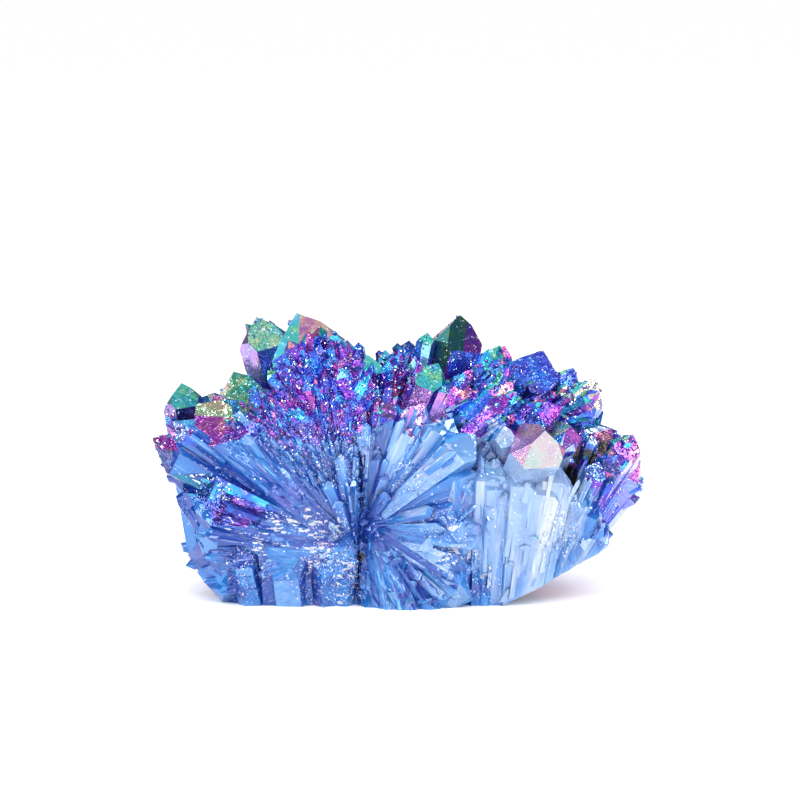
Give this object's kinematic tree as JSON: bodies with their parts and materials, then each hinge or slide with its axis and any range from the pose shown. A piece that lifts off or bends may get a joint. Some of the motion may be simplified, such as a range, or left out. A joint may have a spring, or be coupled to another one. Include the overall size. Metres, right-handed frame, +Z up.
{
  "type": "aura quartz crystal cluster",
  "caption": "Cluster of quartz points grown together in fans and coated with a thin iridescent blue film, broken flat below so that it rests on a surface.",
  "frame": {"origin": "under the middle of the piece's box, on the broken flat face it rests on", "axes": "+Z up, +X along the longest side, -Y out of the broken front that shows the columns"},
  "size_m": [0.089, 0.0528, 0.0518],
  "materials": {
    "aura_quartz": "glossy crystal faces under a thin iridescent film, milky blue below"
  },
  "bodies": {
    "root": {"quartz_cluster": "aura_quartz"}
  },
  "joints": []
}
